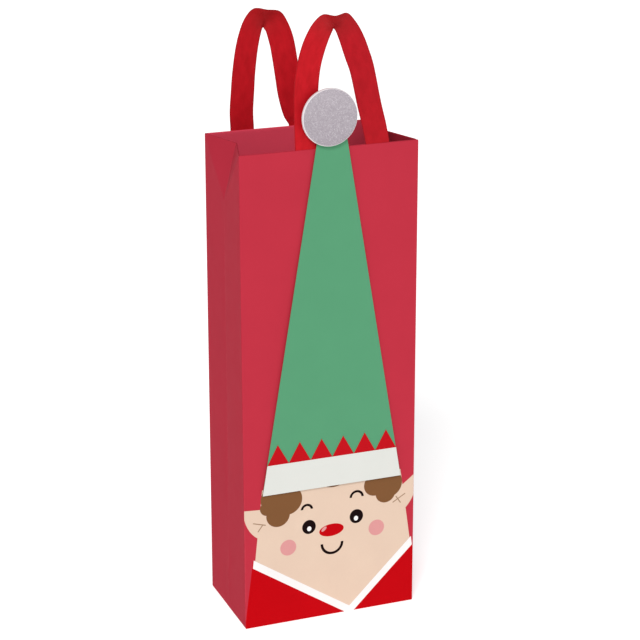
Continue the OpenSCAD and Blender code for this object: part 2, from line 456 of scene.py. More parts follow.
def draw_figure(place):
    """The face, ears, hair, collar and shirt, painted one over the other."""
    x, _, z = place.parts()
    collar_left = beside(x, z, *COLLAR_LEFT)
    collar_right = beside(x, z, *COLLAR_RIGHT)
    above_collar = collar_left.most(collar_right)
    face_left = beside(x, z, FACE_LEFT[1], FACE_LEFT[0]) * -1
    face_right = beside(x, z, FACE_RIGHT[1], FACE_RIGHT[0]) * -1
    face_sides = face_left.most(face_right)
    under_hat = z - (HAT_FOOT + 4)
    shirt_left = beside(x, z, *SHIRT_LEFT)
    shirt = inside_all([shirt_left, z - 60, (above_collar - 1) * -1, (x - 62) * 0.25 + z - 48.0])
    collar_ends = (face_left - 1.2).most(face_right - 1.2)
    collar = inside_all([above_collar - COLLAR_WIDTH, above_collar * -1, collar_ends])
    skin = inside_all([above_collar, face_sides, under_hat])
    left_oval = oval(x, z, (-53.8, 91.0), (13.9, 21.4), 14)
    ear_left = inside_all([left_oval, (x + 60) * 0.06 + z - 94.6, face_left * -1 - 1.5, 68.5 - z])
    right_oval = oval(x, z, (57.2, 97.1), (12.6, 23.4), -14)
    right_top = (x - 57.2) * -0.62 + (z - 95.8) * 0.8 - 0.2
    ear_right = inside_all([right_oval, right_top, face_right * -1 - 1.5, 75.5 - z])
    ear_strokes = inside_any([stroke(x, z, start, stop, 0.8) for start, stop in EAR_STROKES])
    hair = inside_any([spot(x, z, *lobe) for lobe in HAIR_LEFT + HAIR_RIGHT])
    hair = hair.least(oval(x, z, *HAIR_MIDDLE))
    hair = inside_all([hair, under_hat])
    eyes = inside_any([oval(x, z, (-16.9, 74.5), (5.4, 5.6)), oval(x, z, (21.0, 77.0), (5.4, 5.6))])
    lights = inside_any([oval(x, z, (-16.7, 73.0), (1.7, 1.9)), oval(x, z, (20.7, 75.4), (1.7, 1.9))])
    left_brow = inside_all([abs(spot(x, z, (-18.5, 88.4), 4.0)) - 0.95, 88.8 - z])
    right_brow = inside_all([abs(spot(x, z, (21.2, 92.2), 4.8)) - 0.95, 92.4 - z])
    brows = inside_any([left_brow, right_brow])
    smile = inside_all([abs(spot(x, z, (1.4, 58.6), 8.1)) - 1.05, z - 58.8])
    nose = oval(x, z, (1.0, 69.2), (9.8, 4.9), 3)
    nose_light = oval(x, z, (-5.0, 70.8), (2.5, 1.2), 42)
    cheeks = inside_any([spot(x, z, (-33.4, 60.6), 6.3), spot(x, z, (37.2, 65.2), 6.3)])

    paint = edge_of(shirt).tint(CRIMSON, SHIRT)
    layers = [(collar, WHITE), (skin, SKIN), (ear_left, SKIN), (ear_right, SKIN), (cheeks, BLUSH)]
    layers += [(ear_strokes, CREASE), (hair, HAIR), (eyes, BLACK), (lights, WHITE), (brows, BLACK)]
    layers += [(smile, BLACK), (nose, SHIRT), (nose_light, BLUSH)]
    for shape, colour in layers:
        paint = edge_of(shape).tint(paint, colour)
    return paint


front_finish = satin_paper("printed_front", draw_figure)
print("print on the front:", len(front_finish.node_tree.nodes), "nodes")

# %% [markdown]
# ## The skin of the bag
#
# A fold in real paper is never a knife edge: the sheet turns over a radius of about half a
# millimetre. A box with all its edges rounded is easy to describe: clamp a point to a slightly
# smaller box, then step back out by the radius. The walls are sampled from that rounded box, so
# two walls meet exactly where their shared fold turns.
#
# Paper under slight tension isn't quite flat either. A sum of long, low waves lifts and lowers
# each wall by a fifth of a millimetre, and fades out towards the folds that hold it straight.

# %% Skin of the bag
FOLD = 0.6
WAVE = 0.22
VALLEY = 1.3


def steps(start, stop, coarse, fine_near_start=True, fine_near_stop=True):
    """Places from start to stop, close together at the ends where a fold turns."""
    sign = 1 if stop > start else -1
    turn = [0, 0.08, 0.18, 0.3, 0.42, 0.52, FOLD]
    first = [start + sign * t for t in turn] if fine_near_start else [start]
    last = [stop - sign * t for t in reversed(turn)] if fine_near_stop else [stop]
    count = max(1, round(abs(last[0] - first[-1]) / coarse))
    middle = list(np.linspace(first[-1], last[0], count + 1)[1:-1])
    return first + middle + last


def rounded(points, floor):
    """Moves points of a sharp box onto the same box with rounded folds."""
    bottom = floor + FOLD
    low_corner = np.array([-HALF_WIDTH + FOLD, -HALF_DEPTH + FOLD, bottom])
    high_corner = np.array([HALF_WIDTH - FOLD, HALF_DEPTH - FOLD, HEIGHT + 50])
    core = np.clip(points, low_corner, high_corner)
    out = points - core
    return core + out * (FOLD / np.maximum(np.linalg.norm(out, axis=1, keepdims=True), 1e-9))


def leaned(points):
    """Leans the front and back in towards the rim."""
    moved = points.copy()
    moved[:, 1] *= -front_y(points[:, 2]) / HALF_DEPTH
    return moved


def ease(value, width):
    """0 at a fold, rising smoothly to 1 at `width` from it."""
    t = np.clip(value / width, 0, 1)
    return t * t * (3 - 2 * t)


def waves(across, z, half, phase):
    """How far a wall stands out of true, in millimetres."""
    hold = ease(half - np.abs(across), 14) * ease(z, 20) * ease(HEIGHT - z, 30)
    long_wave = np.sin(z / 61 + phase) * np.cos(across / 27 + 2 * phase)
    short_wave = 0.6 * np.sin(z / 23 - across / 31 + phase)
    return WAVE * hold * (long_wave + short_wave)


def tuck_depth(y, z):
    """How far the side is folded in: a shallow valley, and the deep tuck at the rim."""
    rise = (z - CREASE_Z) / (HEIGHT - CREASE_Z)
    ramp = TUCK_IN * (rise - np.abs(y) / (HALF_DEPTH - PAPER))
    tuck = 0.5 * (ramp + np.sqrt(ramp**2 + 0.25)) * ease(z - CREASE_Z + 12, 14)
    valley = VALLEY * (1 - np.abs(y) / HALF_DEPTH) * ease(z, 150)
    return tuck + valley * (1 - ease(z - CREASE_Z, HEIGHT - CREASE_Z))


def wall_front(across, z, floor=0.0):
    """A point of the front's outer face."""
    flat = np.stack([across, np.full_like(across, -HALF_DEPTH), z], axis=1)
    skin = rounded(flat, floor)
    skin[:, 1] -= waves(across, z, HALF_WIDTH, 0.7)
    return leaned(skin)


def wall_side(y, z, floor):
    """A point of the left side's outer face."""
    flat = np.stack([np.full_like(y, -HALF_WIDTH), y, z], axis=1)
    skin = rounded(flat, floor)
    skin[:, 0] += tuck_depth(y, z) * (1 - ease(np.abs(y) - (HALF_DEPTH - 2), 2))
    skin[:, 0] -= waves(np.abs(y) * 2 - HALF_DEPTH, z, HALF_DEPTH, 1.9) * 0.8
    return leaned(skin)


def mesh_grid(rows, columns):
    """Every pair of a row value and a column value, row after row."""
    return np.repeat(rows, len(columns)).astype(float), np.tile(columns, len(rows)).astype(float)


# %% [markdown]
# ## Front and back walls
#
# The two large walls. Each ends just under the rim, where the turned-in hem takes over and rolls
# over the top. Outside they carry the print, inside they are bare paper.

# %% Front and back walls
ROLL = 0.55
RIM = HEIGHT - ROLL


def flip(faces):
    return [tuple(reversed(face)) for face in faces]


def mirrored(points, axis):
    turned = points.copy()
    turned[:, axis] *= -1
    return turned


def paper_piece(name, points, faces, nodes, outside, inside=inside_finish):
    """A stretch of the sheet, one paper thick, with a finish on each face and bare cut edges."""
    points, faces, sides = thicken(points, faces, PAPER)
    place_piece(make(name, points, faces, [outside, inside, cut_finish], sides), nodes)


wall_columns = steps(-HALF_WIDTH, HALF_WIDTH, 4.5)
wall_rows = steps(0, RIM, 6, fine_near_stop=False)
z_values, x_values = mesh_grid(wall_rows, wall_columns)
wall_faces = grid(len(wall_rows), len(wall_columns))
for name, finish, nodes, at_back in [
    ("front_wall", front_finish, ["front_panel"], False),
    ("back_wall", back_finish, ["back_panel"], True),
]:
    points = wall_front(x_values, z_values, PAPER if at_back else 0.0)
    if at_back:
        points[:, 2] += np.where(points[:, 2] < PAPER, PAPER - points[:, 2], 0)
        points = mirrored(points, 1)
    paper_piece(name, points, flip(wall_faces) if at_back else wall_faces, nodes, finish)

# %% [markdown]
# ## The folded sides
#
# Each side is creased down its middle and tucked in at the rim, so it is two flat halves and two
# triangles. The crease is the meeting of the front half and the back half, and each half with its
# triangle is one stretch of paper with a soft fold in it.

# %% Sides
side_rows = steps(2 * PAPER, CREASE_Z - 8, 7, fine_near_stop=False)
side_rows += list(np.linspace(CREASE_Z - 7, HEIGHT - PAPER, 46))
side_columns = steps(-HALF_DEPTH, 0, 1.1, fine_near_stop=False)
z_values, y_values = mesh_grid(side_rows, side_columns)
side_points = wall_side(y_values, z_values, 2 * PAPER)
side_faces = flip(grid(len(side_rows), len(side_columns)))
for side, across_sign in [("left", 1), ("right", -1)]:
    for half, depth_sign in [("front", 1), ("back", -1)]:
        points = side_points * np.array([across_sign, depth_sign, 1])
        faces = side_faces if across_sign * depth_sign > 0 else flip(side_faces)
        nodes = [f"{side}_gusset_{half}", f"{side}_tuck_{half}"]
        paper_piece(f"{side}_side_{half}", points, faces, nodes, side_finish)

# %% [markdown]
# ## The turned-in rim
#
# At the rim the sheet rolls over a card strip and runs down the inside, so what shows inside the
# mouth is printed paper. The ribbons come up through slits in that roll. The slits are real gaps
# in the mesh: the grid has rows and columns exactly at their edges, and those faces are left out.

# %% Hems of the front and back
RIBBON = 18.0
SLIT = RIBBON / 2 + 0.4


def feet_of(side):
    """Where the middles of a ribbon's two feet are across the bag."""
    ends = f"{side}_handle_ends"
    return [low(ends)[0] + RIBBON / 2, high(ends)[0] - RIBBON / 2]


ROLL_TURNS = [0, 25, 50, 92, 112, 134, 158, 180]
SLIT_ROW = 2


def hem_profile():
    """Depth behind the outer face and height, along the paper from the rim over and down."""
    turns = [math.radians(turn) for turn in ROLL_TURNS]
    rolled = [(STACK / 2 * (1 - math.cos(turn)), RIM + ROLL * math.sin(turn)) for turn in turns]
    return rolled + [(STACK, z) for z in np.linspace(RIM - 2, HEM_Z, 9)]


for side, at_back in [("front", False), ("back", True)]:
    feet = feet_of(side)
    slit_edges = [foot + sign * SLIT for foot in feet for sign in (-1, 1)]
    marks = sorted([-HALF_WIDTH + 0.25, HALF_WIDTH - 0.25, *slit_edges])
    columns = [marks[0]]
    for start, stop in zip(marks, marks[1:]):
        count = max(1, round((stop - start) / 5))
        columns += list(np.linspace(start, stop, count + 1)[1:])
    profile = hem_profile()
    points = []
    for depth, z in profile:
        narrow = 1 - (1 - HEM_HALF / HALF_WIDTH) * ease(depth, STACK)
        for x in columns:
            points.append([x * narrow, float(front_y(z)) + depth, z])
    points = np.array(points, float)
    faces = []
    for face in grid(len(profile), len(columns)):
        row, column = divmod(face[0], len(columns))
        middle = (columns[column] + columns[column + 1]) / 2
        if row == SLIT_ROW and any(abs(middle - f) < SLIT for f in feet):
            continue
        faces.append(face)
    if at_back:
        points = mirrored(points, 1)
        faces = flip(faces)
    outside = hem_finish if at_back else front_hem_finish
    paper_piece(f"{side}_hem_turn", points, faces, [f"{side}_hem"], outside)

# %% Hems of the sides
HEM_END = HALF_DEPTH - 2.9
hem_columns = list(np.linspace(-HEM_END, HEM_END, 61))
side_roll = [(t, HEIGHT - PAPER + PAPER * math.sin(math.radians(t))) for t in (0, 30, 60, 90, 120, 150, 180)]
side_down = [(180, z) for z in np.linspace(HEIGHT - PAPER - 1, CREASE_Z + 0.5, 36)]
points = []
for turn, z in side_roll + side_down:
    inset = (PAPER + 0.02) * (1 - math.cos(math.radians(turn)))
    level = min(z, HEIGHT - PAPER)
    base = wall_side(np.array(hem_columns), np.full(len(hem_columns), level), 2 * PAPER)
    for place_on_side in base:
        points.append([place_on_side[0] + inset, place_on_side[1], z])
points = np.array(points, float)
faces = flip(grid(len(side_roll) + len(side_down), len(hem_columns)))
for side, across_sign in [("left", 1), ("right", -1)]:
    turned = points * np.array([across_sign, 1, 1])
    turned_faces = faces if across_sign > 0 else flip(faces)
    paper_piece(f"{side}_hem_turn", turned, turned_faces, [f"{side}_hem"], side_finish)

# %% [markdown]
# ## Card that doesn't bend
#
# The hat, its trimmings, the base card and the glued flaps are flat pieces cut from card or
# paper. One helper extrudes an outline and softens its edges with a bevel modifier, because a
# punched edge is always slightly rounded. The cut side is bare and takes a tone of its own.


# %% Cut card
def cut_card(name, outline, thickness, to_frame, finishes, soften=0.08):
    """A flat piece. `outline` runs anticlockwise, and `to_frame` puts (across, up, out) in place."""
    count = len(outline)
    back = [to_frame(a, b, 0.0) for a, b in outline]
    front = [to_frame(a, b, thickness) for a, b in outline]
    faces = [tuple(range(count, 2 * count)), tuple(reversed(range(count)))]
    faces += [(i, (i + 1) % count, (i + 1) % count + count, i + count) for i in range(count)]
    sides = [0, 1] + [2] * count
    piece = make(name, np.array(back + front, float), faces, finishes, sides, smooth=False)
    bevel = piece.modifiers.new("soft_edge", "BEVEL")
    bevel.width = soften * MM
    bevel.segments = 2
    bevel.limit_method = "ANGLE"
    bevel.angle_limit = math.radians(50)
    bevel.material = -1
    return piece


def on_front(out):
    """Puts (across, up, out) on the leaning front, `out` millimetres off its face."""

    def to_frame(across, up, more):
        off = out + more
        y = -HALF_DEPTH - off * math.cos(LEAN_ANGLE) + up * math.sin(LEAN_ANGLE)
        return [across, y, up * math.cos(LEAN_ANGLE) + off * math.sin(LEAN_ANGLE)]

    return to_frame


def lying(level):
    """Puts (across, back, up) flat at a level above the base."""
    return lambda across, back, more: [across, back, level + more]


# %% Base flaps, seam and base card
LONG_FLAP = high("bottom_flap_front")[1]
SIDE_FLAP = high("bottom_flap_left")[0]
SIDE_FLAP_TIP = HALF_DEPTH - PAPER - 0.2 - 6
base_finish = satin_paper("base_paper", CRIMSON)
right_edge = [
    (HALF_WIDTH - 0.3, -HALF_DEPTH + 0.5),
    (HALF_WIDTH - 0.3, LONG_FLAP - 8),
    (HALF_WIDTH - 3.4, LONG_FLAP),
]
left_edge = [(-x, y) for x, y in reversed(right_edge)]
long_outline = [left_edge[-1], *right_edge, *left_edge[:-1]]
for name, level, at_back, node in [
    ("base_flap_front", 0.0, False, "bottom_flap_front"),
    ("base_flap_back", PAPER, True, "bottom_flap_back"),
]:
    outline = [(x, -y) for x, y in reversed(long_outline)] if at_back else long_outline
    flap = cut_card(name, outline, PAPER, lying(level), [inside_finish, base_finish, cut_finish])
    place_piece(flap, [node])

root = HALF_DEPTH - PAPER - 0.2
side_outline = [
    (-HALF_WIDTH + PAPER, -root),
    (SIDE_FLAP, -SIDE_FLAP_TIP),
    (SIDE_FLAP, SIDE_FLAP_TIP),
    (-HALF_WIDTH + PAPER, root),
]
for side, sign in [("left", 1), ("right", -1)]:
    outline = [(x * sign, y) for x, y in side_outline]
    if sign < 0:
        outline.reverse()
    flap = cut_card(
        f"base_flap_{side}", outline, PAPER, lying(2 * PAPER), [inside_finish, base_finish, cut_finish]
    )
    place_piece(flap, [f"bottom_flap_{side}"])

seam_low, seam_high = low("side_seam"), high("side_seam")
seam_rows = np.linspace(seam_low[2], seam_high[2], 40)
seam_columns = np.linspace(seam_low[0], seam_high[0], 5)
z_values, x_values = mesh_grid(seam_rows, seam_columns)
seam_points = wall_front(x_values, z_values)
seam_points[:, 1] += 2 * PAPER
seam_points = mirrored(seam_points, 1)
seam_faces = grid(len(seam_rows), len(seam_columns))
paper_piece("glued_seam", seam_points, seam_faces, ["side_seam"], inside_finish, side_finish)


# %% [markdown]
# ## Greyboard
#
# The loose base card and the strips in the hem are greyboard: pressed waste paper, dull, with
# flecks of every colour that went into the pulp.


# %% Greyboard and base card
def soft_corners(half_width, half_depth, corner, step):
    """A rectangle's outline with rounded corners, one point for every `step` degrees of them."""
    outline = []
    for sign_x, sign_y, start in [(1, -1, -90), (1, 1, 0), (-1, 1, 90), (-1, -1, 180)]:
        for turn in range(0, 91, step):
            angle = math.radians(start + turn)
            across = sign_x * (half_width - corner) + corner * math.cos(angle)
            back = sign_y * (half_depth - corner) + corner * math.sin(angle)
            outline.append((across, back))
    return outline


def greyboard(name):
    material, place = start_finish(name)
    flecks = place.noise(0.7, 3, 0.7)
    dark = (flecks * 6 - 3.9).clip()
    light = (place.noise(1.3, 2, 0.6) * 5 - 3.0).clip()
    base = (place.noise(14, 3) * 0.6).tint(ink(188, 183, 174), ink(176, 170, 160))
    base = (dark * 0.5).tint(base, ink(120, 112, 104))
    base = (light * 0.5).tint(base, ink(214, 209, 200))
    constants = {"Specular IOR Level": 0.2}
    close_finish(place, base, flecks * 0.1 + 0.82, place.noise(0.5, 3), 0.03, constants)
    return material


board_finish = greyboard("greyboard")
card_low, card_high = low("base_card"), high("base_card")
outline = soft_corners(card_high[0], card_high[1], 3.0, 15)
base_card = cut_card(
    "base_board", outline, card_high[2] - card_low[2], lying(card_low[2]), [board_finish], soften=0.2
)
place_piece(base_card, ["base_card"], "base_card")
for node in ("front_rim_card", "back_rim_card"):
    strip = frame["nodes"][node].data
    strip.materials.clear()
    strip.materials.append(board_finish)

# %% [markdown]
# ## The hat
#
# Three layers of punched card: a tall green hat, a row of red teeth over its foot, and a white
# band over that. The ink is matt, so the card's own tooth shows in low light.


# %% Printed card
def printed_card(name, tone, deep, grain=0.05):
    """Matt printed card, a little uneven in tone."""
    material, place = start_finish(name)
    tooth = place.noise(0.45, 3)
    cloud = place.noise(16, 3)
    base = (cloud * 0.5 + tooth * grain * 4).clip().tint(tone, deep)
    rough = tooth * 0.1 + 0.55
    constants = {"Specular IOR Level": 0.1}
    close_finish(place, base, rough, tooth * 0.6 + place.noise(3, 2) * 0.4, 0.02, constants)
    return material


green_finish = printed_card("green_card", ink(84, 150, 111), ink(79, 143, 105))
red_card_finish = printed_card("red_card", ink(186, 1, 18), ink(172, 0, 12))
white_finish = printed_card("white_card", ink(213, 214, 209), ink(206, 207, 201))
# The green and red cards' cut edges are a dark tan: the card's own edge, darkened with painted shade for the
# thin dark outline along the hat and its teeth.
green_edge_shade = bare_paper("green_card_edge", ink(120, 112, 84))
red_edge_shade = bare_paper("red_card_edge", ink(150, 128, 84))
white_edge = bare_paper("white_card_edge", ink(250, 250, 248))
card_back = bare_paper("card_back", ink(228, 226, 220))

HAT_X = (low("hat_card")[0] + high("hat_card")[0]) / 2
HAT_HALF = (high("hat_card")[0] - low("hat_card")[0]) / 2
HAT_TIP = high("hat_card")[2]
HAT_RIM_HALF = 12.25
HAT_SLOPE = (HAT_HALF - HAT_RIM_HALF) / (HEIGHT - HAT_FOOT)
BAND_TOP = high("hat_band")[2]
PAD, CARD, TRIM = 1.0, 0.6, 0.25


def hat_half(up):
    return HAT_HALF - HAT_SLOPE * (up - HAT_FOOT)


def hat_slice(start, stop):
    """The hat's outline from one height to another, anticlockwise from its lower left corner."""
    corners = [(-1, start), (1, start), (1, stop), (-1, stop)]
    return [(HAT_X + sign * hat_half(up), up) for sign, up in corners]


hat_outline = hat_slice(HAT_FOOT, HAT_TIP)
hat = cut_card("hat", hat_outline, CARD, on_front(PAD), [green_finish, card_back, green_edge_shade], 0.1)
place_piece(hat, ["hat_card"])

TEETH = 6
TOOTH = 17.0
tip_up = high("hat_zigzag")[2]
under_band = low("hat_zigzag")[2]
teeth_outline = hat_slice(under_band, BAND_TOP)[:3]
for tooth in reversed(range(TEETH)):
    middle = HAT_X + TOOTH * (tooth - (TEETH - 1) / 2)
    teeth_outline.append((middle, tip_up))
    teeth_outline.append((max(middle - TOOTH / 2, HAT_X - hat_half(BAND_TOP)), BAND_TOP))
teeth = cut_card(
    "hat_teeth", teeth_outline, TRIM, on_front(PAD + CARD), [red_card_finish, card_back, red_edge_shade], 0.05
)
place_piece(teeth, ["hat_zigzag"])

band_outline = hat_slice(HAT_FOOT, BAND_TOP)
band = cut_card(
    "hat_brim", band_outline, TRIM, on_front(PAD + CARD + TRIM), [white_finish, card_back, white_edge], 0.05
)
place_piece(band, ["hat_band"])


# %% [markdown]
# ## Foam pads
#
# Double-sided foam squares hold the hat off the paper, which is why it throws a soft shadow.
# Pressed foam swells a little at its sides, so each pad's rim is bowed outwards.


# %% Foam pads
def foam(name):
    material, place = start_finish(name)
    cells = place.node("ShaderNodeTexVoronoi", {}, {"Vector": place, "Scale": 3.2})
    base = (cells * 0.6).clip().tint(ink(240, 240, 236), ink(222, 222, 216))
    constants = {"Specular IOR Level": 0.25}
    close_finish(place, base, cells * 0.1 + 0.8, cells, 0.08, constants)
    return material


foam_finish = foam("white_foam")


def pad_rings(centre, outline, out, thickness, bulge):
    """Rings of a pressed pad, from its back to its front, bowed out at the middle."""
    rings = []
    for share in (0, 0.12, 0.5, 0.88, 1):
        bow = 1 + bulge * math.sin(math.pi * share)
        put = on_front(out + share * thickness)
        rings.append([put(centre[0] + a * bow, centre[1] + b * bow, 0.0) for a, b in outline])
    return rings


def rings_to_mesh(sets):
    """Points and faces of closed solids, each given as a list of rings."""
    points, faces = [], []
    for rings in sets:
        count, base = len(rings[0]), len(points)
        for ring in rings:
            points += ring
        for r in range(len(rings) - 1):
            for c in range(count):
                a, b = base + r * count + c, base + r * count + (c + 1) % count
                faces.append((a, b, b + count, a + count))
        last = base + (len(rings) - 1) * count
        faces.append(tuple(range(base, base + count))[::-1])
        faces.append(tuple(range(last, last + count)))
    return np.array(points, float), faces


pad_foot = HAT_FOOT + 12
pad_places = [(x, pad_foot) for x in range(-40, 41, 20)]
pad_places += [(x, pad_foot + 42) for x in range(-30, 31, 20)]
pad_places += [(x, pad_foot + 92) for x in range(-20, 21, 20)]
pad_places += [(x, pad_foot + 144) for x in (-11, 11)]
pad_places += [(0, pad_foot + up) for up in (190, 230)]
square_pad = soft_corners(4.4, 4.4, 0.8, 30)
pad_sets = [pad_rings((HAT_X + x, z), square_pad, 0.0, PAD, 0.03) for x, z in pad_places]
points, faces = rings_to_mesh(pad_sets)
pads = make("hat_foam_pads", points, faces, [foam_finish])
place_piece(pads, ["hat_pads"])

bobble_low, bobble_high = low("bobble"), high("bobble")
BOBBLE_R = (bobble_high[0] - bobble_low[0]) / 2
BOBBLE_Z = (bobble_low[2] + bobble_high[2]) / 2
BOBBLE_X = (bobble_low[0] + bobble_high[0]) / 2
BOBBLE_T = 3.0
round_pad = [(6.9 * math.cos(math.radians(a)), 6.9 * math.sin(math.radians(a))) for a in range(0, 360, 10)]
points, faces = rings_to_mesh([pad_rings((BOBBLE_X, BOBBLE_Z - 5), round_pad, PAD + CARD, PAD, 0.02)])
bobble_pad = make("disc_foam_pad", points, faces, [foam_finish])
place_piece(bobble_pad, ["bobble_pad"])


# %% [markdown]
# ## The glitter disc
#
# A thick card disc faced with fine glitter. The flakes lie at all angles, so some catch the light
# and some don't. A Voronoi texture with cells about 0.4 mm wide gives every flake its own
# brightness and its own height, and a pale bare rim is left at the edge.


# %% Glitter disc
def glitter(name):
    material, place = start_finish(name)
    x, _, z = place.parts()
    off_x, off_z = x - BOBBLE_X, z - BOBBLE_Z
    radius = (off_x * off_x + off_z * off_z).math("SQRT")
    flakes = place.node("ShaderNodeTexVoronoi", {}, {"Vector": place, "Scale": 2.4}, output=1)
    flake = flakes.parts()[0]
    cloud = place.noise(3.2, 3)
    glint = (flake * 8 - 6.9).clip()
    # Painted light: the disc is made lighter towards its top.
    lit_top = ((off_z + BOBBLE_R) / (2 * BOBBLE_R)).clip()
    bright = (flake * 0.5 + cloud * 0.3 + lit_top * 0.25 - 0.05).clip()
    base = bright.tint(ink(142, 133, 141), ink(190, 181, 188))
    base = (glint * 0.4).tint(base, ink(236, 233, 236))
    rim = ((radius - (BOBBLE_R - 0.7)) * 3).clip()
    base = rim.tint(base, ink(228, 224, 226))
    rough = 0.62 - flake * 0.3 * (1 - rim)
    metal = glint * 0.4 * (1 - rim)
    constants = {"Metallic": metal, "Specular IOR Level": 0.3}
    close_finish(place, base, rough, flake * (1 - rim), 0.09, constants)
    return material


glitter_finish = glitter("glitter_card")
EDGE_ROUND = 0.9
CROWN = 0.2
shoulder = BOBBLE_T - EDGE_ROUND - CROWN
profile = [(0.0, 0.0), (BOBBLE_R - 6, 0.0), (BOBBLE_R - 0.35, 0.0), (BOBBLE_R - 0.1, 0.1), (BOBBLE_R, 0.35)]
profile += [(BOBBLE_R, shoulder)]
for turn in (15, 30, 45, 60, 75, 90):
    angle = math.radians(turn)
    inset = EDGE_ROUND * (1 - math.cos(angle))
    profile.append((BOBBLE_R - inset, shoulder + EDGE_ROUND * math.sin(angle)))
for share in (0.9, 0.75, 0.55, 0.35, 0.15, 0.0):
    profile.append((BOBBLE_R * share, BOBBLE_T - CROWN * share**2))
around = 96
put = on_front(PAD + CARD + PAD)
rings = []
for radius, out in profile:
    ring_r = max(radius, 0.05)
    turns = [math.tau * k / around for k in range(around)]
    ring = [(BOBBLE_X + ring_r * math.cos(t), BOBBLE_Z + ring_r * math.sin(t)) for t in turns]
    rings.append([put(x, z, out) for x, z in ring])
points, faces = rings_to_mesh([rings])
disc = make("glitter_disc", points, faces, [glitter_finish])
place_piece(disc, ["bobble"])


# %% [markdown]
# ## The ribbon handles
#
# Each handle is one satin ribbon. Both its ends are glued inside the hem, it comes up through the
# slits, and it bends over at the top. A ribbon doesn't bend sideways, so it turns its face as it
# goes over: the outer edge leans forwards at the top. The sweep keeps the width constant and
# turns it smoothly, and the weave runs along the ribbon because each point knows its distance
# along it and across it.


# %% Satin
def satin(name, length, far_leg_shade):
    """Woven satin: ribs across, threads along, a few bright flecks. Painted shade darkens one leg, by the
    last argument, and the bend over the top.
    """
    material, place = start_finish(name)
    weave = place.node("ShaderNodeAttribute", {"attribute_name": "weave"}, {}, output=1)
    across, along, _ = weave.parts()
    ribs = (along * (math.tau / 0.55)).math("SINE") * 0.5 + 0.5
    threads = weave.stretch(1, 0.05, 1).noise(0.28, 2)
    patches = weave.stretch(1, 0.5, 1).noise(4.5, 3)
    fleck = (weave.noise(0.9, 3, 0.7) * 7 - 4.5).clip()
    selvedge = (abs(across) - (RIBBON / 2 - 0.9)).clip()
    base = (patches * 0.9 + 0.05).clip().tint(ink(166, 16, 24), ink(216, 30, 42))
    base = (threads * 0.4).tint(base, ink(136, 4, 12))
    base = (fleck * 0.5).tint(base, ink(210, 50, 56))
    base = (selvedge * 0.6).tint(base, ink(140, 6, 14))
    # Painted shade: the second leg, turned away from the lamp, and the bend over the top are darkened.
    share = along * (1 / length)
    second_leg_shade = ((share - 0.5) * 12 + 0.5).clip()
    bend_shade = (1 - abs(share - 0.5) * 12).clip()
    base = (second_leg_shade * far_leg_shade).tint(base, ink(120, 16, 28))
    base = (bend_shade * 0.4).tint(base, ink(132, 34, 32))
    rough = threads * 0.16 + 0.36 + ribs * 0.05
    height = ribs * 0.35 + threads * 0.5 + selvedge * 0.3
    constants = {
        "Specular IOR Level": 0.2,
        "Specular Tint": ink(255, 150, 150),
        "Sheen Weight": 0.06,
        "Sheen Roughness": 0.4,
        "Sheen Tint": ink(255, 90, 90),
    }
    close_finish(place, base, rough, height, 0.04, constants)
    return material


# %% [markdown]
# A straight ribbon can't turn in its own plane. Where a handle bends over, the outer edge would
# have to be longer than the inner one, so the ribbon tips instead: the outer edge leans forwards,
# the inner one backs away, and two soft shoulders form with a dip between them. Drawing both edges
# gives that shape directly. Each row below is the outer edge across and up from the rim, the inner
# edge across and up, how far the two lean apart, and how far the middle lies behind the slit.

# %% Ribbon loops
RIBBON_T = 0.38
TAIL = 26.0
FRONT_LOOP = [
    (-26, 1, -8, 1, 0, 0), (-26.5, 16, -8.5, 14, 0, 0), (-26.6, 36, -8.6, 34, 0, 0.5),
    (-25.6, 50, -7.7, 47, 0.3, 1), (-23.5, 62, -6, 57, 0.4, 1.5), (-20.3, 72, -3.6, 65.5, 0.5, 2),
    (-16.2, 81, -1, 71.7, 1, 2.5), (-11.4, 88.5, 1.8, 77, 2, 2.8), (-5.6, 93.5, 4.6, 80.6, 3.8, 3),
    (2.5, 92.4, 6.2, 81.4, 6.6, 3), (11.5, 93.6, 7.2, 80.4, 5.4, 3), (17.6, 88, 9, 75.4, 4.5, 2.8),
    (23, 79.6, 11, 69, 3.2, 2.5), (28.8, 68, 13, 60, 1.2, 2), (33.6, 54, 15.8, 50.6, 0.4, 1.5),
    (38.6, 30, 20.8, 27.4, 0, 0.8), (42.4, 14, 24.6, 12, 0, 0.2), (45, 1, 27, 1, 0, 0),
]
BACK_LOOP = [
    (-47.4, 1, -30.6, 1, 0, 0), (-48, 14, -30.8, 13, 0, 0), (-47.4, 28.5, -29.4, 27, -0.2, 0),
    (-46, 43, -28.4, 39.5, -0.5, -0.3), (-43.4, 59.5, -26.6, 53.7, -0.8, -0.6),
    (-40, 72.2, -24.8, 63, -1, -0.8), (-35.6, 81.6, -23.2, 68.8, -1.2, -1),
    (-29.6, 87.8, -21.6, 71.9, -2.4, -1), (-20.4, 86.6, -19.8, 72.2, -5.3, -1),
    (-9.4, 84.8, -19.6, 70, -3.6, -1), (-3.9, 77.4, -18.4, 66, -3, -0.9),
    (1, 65.4, -17, 59.6, -3.2, -0.7), (3.4, 53, -15.2, 49.2, -3, -0.5),
    (5, 40.4, -13.2, 37, -2, -0.3), (7, 26, -11.2, 22.4, -0.8, -0.1), (10, 12, -7, 8.6, 0, 0),
    (15, 1, -3, 1, 0, 0),
]
LOOPS = {"front": FRONT_LOOP, "back": BACK_LOOP}


def smooth_line(points, between):
    """A Catmull-Rom curve through points."""
    points = np.array(points, float)
    padded = np.vstack([2 * points[0] - points[1], points, 2 * points[-1] - points[-2]])
    line = []
    for i in range(1, len(padded) - 2):
        a, b, c, d = padded[i - 1 : i + 3]
        for k in range(between):
            t = k / between
            once = (c - a) * t
            twice = (2 * a - 5 * b + 4 * c - d) * t**2
            thrice = (3 * b - a - 3 * c + d) * t**3
            line.append(0.5 * (2 * b + once + twice + thrice))
    line.append(points[-1])
    return np.array(line)


